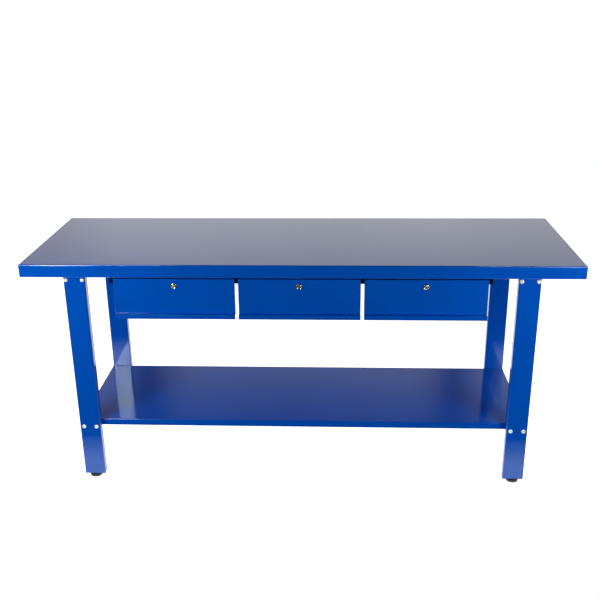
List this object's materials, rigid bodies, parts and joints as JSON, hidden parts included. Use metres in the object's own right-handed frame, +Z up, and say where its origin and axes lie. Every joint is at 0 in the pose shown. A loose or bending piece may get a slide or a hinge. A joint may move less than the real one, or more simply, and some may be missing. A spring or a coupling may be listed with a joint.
{
  "type": "workbench with drawers",
  "caption": "Painted steel workbench with a folded sheet top, tube legs on levelling feet, a lower shelf and a row of locking drawers hung under the top.",
  "frame": {"origin": "on the floor under the middle of the worktop", "axes": "+X along the bench to its right end, +Y from the drawer fronts to the back, +Z up"},
  "size_m": [2, 0.64, 0.895],
  "materials": {
    "blue_powder_coat": "gloss powder coat",
    "zinc_fastener": "bright zinc plate",
    "runner_zinc": "galvanised sheet",
    "lock_chrome": "bright chrome plate",
    "lock_zinc": "zinc plate",
    "foot_plastic": "matt black nylon",
    "black_cap": "matt black polythene",
    "glide_nylon": "natural nylon"
  },
  "bodies": {
    "frame": {"worktop": "blue_powder_coat", "top_rib_front": "blue_powder_coat", "top_rib_middle": "blue_powder_coat", "top_rib_rear": "blue_powder_coat", "leg_front_left": "blue_powder_coat", "leg_rear_left": "blue_powder_coat", "leg_front_right": "blue_powder_coat", "leg_rear_right": "blue_powder_coat", "end_rail_left": "blue_powder_coat", "end_rail_right": "blue_powder_coat", "frame_bolts": "zinc_fastener", "frame_nuts": "zinc_fastener", "rib_cleats": "blue_powder_coat", "cleat_fasteners": "zinc_fastener", "shelf": "blue_powder_coat", "shelf_bolt_plates": "blue_powder_coat", "shelf_rib_front": "blue_powder_coat", "shelf_rib_rear": "blue_powder_coat", "foot_inserts": "zinc_fastener", "drawer_hanger_left_end": "blue_powder_coat", "drawer_hanger_left": "blue_powder_coat", "drawer_hanger_right": "blue_powder_coat", "drawer_hanger_right_end": "blue_powder_coat", "hanger_caps": "black_cap", "drawer_1_runners": "runner_zinc", "drawer_2_runners": "runner_zinc", "drawer_3_runners": "runner_zinc", "lock_strikes": "blue_powder_coat"},
    "foot_front_left": {"foot_pad_front_left": "foot_plastic", "foot_stud_front_left": "zinc_fastener"},
    "foot_rear_left": {"foot_pad_rear_left": "foot_plastic", "foot_stud_rear_left": "zinc_fastener"},
    "foot_front_right": {"foot_pad_front_right": "foot_plastic", "foot_stud_front_right": "zinc_fastener"},
    "foot_rear_right": {"foot_pad_rear_right": "foot_plastic", "foot_stud_rear_right": "zinc_fastener"},
    "drawer_1": {"drawer_1_box": "blue_powder_coat", "drawer_1_front": "blue_powder_coat", "drawer_1_glides": "glide_nylon", "lock_1_barrel": "lock_chrome", "lock_1_nut": "lock_zinc"},
    "drawer_2": {"drawer_2_box": "blue_powder_coat", "drawer_2_front": "blue_powder_coat", "drawer_2_glides": "glide_nylon", "lock_2_barrel": "lock_chrome", "lock_2_nut": "lock_zinc"},
    "drawer_3": {"drawer_3_box": "blue_powder_coat", "drawer_3_front": "blue_powder_coat", "drawer_3_glides": "glide_nylon", "lock_3_barrel": "lock_chrome", "lock_3_nut": "lock_zinc"},
    "lock_1": {"lock_1_plug": "lock_chrome", "lock_1_cam": "lock_zinc", "lock_1_screw": "lock_zinc"},
    "lock_2": {"lock_2_plug": "lock_chrome", "lock_2_cam": "lock_zinc", "lock_2_screw": "lock_zinc"},
    "lock_3": {"lock_3_plug": "lock_chrome", "lock_3_cam": "lock_zinc", "lock_3_screw": "lock_zinc"}
  },
  "joints": [
    {"name": "drawer_1_slide", "type": "slide", "parent": "frame", "child": "drawer_1", "axis": [0, -1, 0], "range_m": [0, 0.38]},
    {"name": "lock_1_turn", "type": "hinge", "parent": "drawer_1", "child": "lock_1", "pos_m": [-0.45, -0.3, 0.81], "axis": [0, -1, 0], "range_deg": [0, 90]},
    {"name": "drawer_2_slide", "type": "slide", "parent": "frame", "child": "drawer_2", "axis": [0, -1, 0], "range_m": [0, 0.38]},
    {"name": "lock_2_turn", "type": "hinge", "parent": "drawer_2", "child": "lock_2", "pos_m": [0, -0.3, 0.81], "axis": [0, -1, 0], "range_deg": [0, 90]},
    {"name": "drawer_3_slide", "type": "slide", "parent": "frame", "child": "drawer_3", "axis": [0, -1, 0], "range_m": [0, 0.38]},
    {"name": "lock_3_turn", "type": "hinge", "parent": "drawer_3", "child": "lock_3", "pos_m": [0.45, -0.3, 0.81], "axis": [0, -1, 0], "range_deg": [0, 90]},
    {"name": "foot_front_left_screw", "type": "slide", "parent": "frame", "child": "foot_front_left", "axis": [0, 0, -1], "range_m": [0, 0.015]},
    {"name": "foot_rear_left_screw", "type": "slide", "parent": "frame", "child": "foot_rear_left", "axis": [0, 0, -1], "range_m": [0, 0.015]},
    {"name": "foot_front_right_screw", "type": "slide", "parent": "frame", "child": "foot_front_right", "axis": [0, 0, -1], "range_m": [0, 0.015]},
    {"name": "foot_rear_right_screw", "type": "slide", "parent": "frame", "child": "foot_rear_right", "axis": [0, 0, -1], "range_m": [0, 0.015]}
  ]
}
